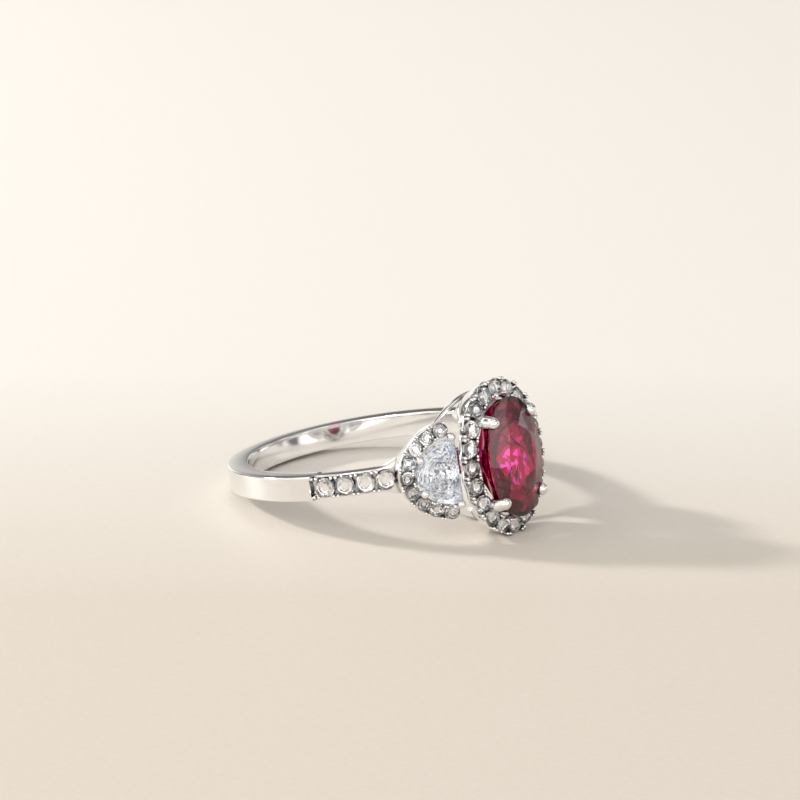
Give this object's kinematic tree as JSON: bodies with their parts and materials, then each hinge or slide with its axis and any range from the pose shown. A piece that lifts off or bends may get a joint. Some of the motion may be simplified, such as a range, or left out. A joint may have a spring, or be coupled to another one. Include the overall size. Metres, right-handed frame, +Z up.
{
  "type": "cocktail ring",
  "caption": "White-gold three-stone ring lying on its side: oval ruby in claws with a diamond halo, two haloed half-moon diamonds and pave-set shoulders.",
  "frame": {"origin": "on the surface the ring lies on, under the middle of its bounding box", "axes": "+Z up from the surface; +X level, from the back of the band towards the ruby; the ring is symmetric across the XZ plane, and its finger axis leans 11.6 degrees from +Z towards -X"},
  "size_m": [0.0228, 0.0194, 0.0099],
  "materials": {
    "white_gold": "mirror polished, rhodium plated",
    "ruby": "faceted, transparent crimson",
    "diamond": "faceted, colourless"
  },
  "bodies": {
    "root": {"halo_diamond_01": "diamond", "halo_diamond_02": "diamond", "halo_diamond_03": "diamond", "halo_diamond_04": "diamond", "halo_diamond_05": "diamond", "halo_diamond_06": "diamond", "halo_diamond_07": "diamond", "halo_diamond_08": "diamond", "halo_diamond_09": "diamond", "halo_diamond_10": "diamond", "halo_diamond_11": "diamond", "halo_diamond_12": "diamond", "halo_diamond_13": "diamond", "halo_diamond_14": "diamond", "halo_diamond_15": "diamond", "halo_diamond_16": "diamond", "halo_diamond_17": "diamond", "halo_diamond_18": "diamond", "halo_diamond_19": "diamond", "halo_diamond_20": "diamond", "left_basket": "white_gold", "left_half_moon": "diamond", "left_halo": "white_gold", "left_halo_diamond_1": "diamond", "left_halo_diamond_2": "diamond", "left_halo_diamond_3": "diamond", "left_halo_diamond_4": "diamond", "left_halo_diamond_5": "diamond", "left_halo_diamond_6": "diamond", "left_halo_diamond_7": "diamond", "left_halo_diamond_8": "diamond", "left_halo_diamond_9": "diamond", "left_shoulder_diamond_1": "diamond", "left_shoulder_diamond_2": "diamond", "left_shoulder_diamond_3": "diamond", "left_shoulder_diamond_4": "diamond", "right_basket": "white_gold", "right_half_moon": "diamond", "right_halo": "white_gold", "right_halo_diamond_1": "diamond", "right_halo_diamond_2": "diamond", "right_halo_diamond_3": "diamond", "right_halo_diamond_4": "diamond", "right_halo_diamond_5": "diamond", "right_halo_diamond_6": "diamond", "right_halo_diamond_7": "diamond", "right_halo_diamond_8": "diamond", "right_halo_diamond_9": "diamond", "right_shoulder_diamond_1": "diamond", "right_shoulder_diamond_2": "diamond", "right_shoulder_diamond_3": "diamond", "right_shoulder_diamond_4": "diamond", "ruby": "ruby", "ruby_basket": "white_gold", "ruby_claw_left_lower": "white_gold", "ruby_claw_left_upper": "white_gold", "ruby_claw_right_lower": "white_gold", "ruby_claw_right_upper": "white_gold", "ruby_halo": "white_gold", "shank": "white_gold"}
  },
  "joints": []
}
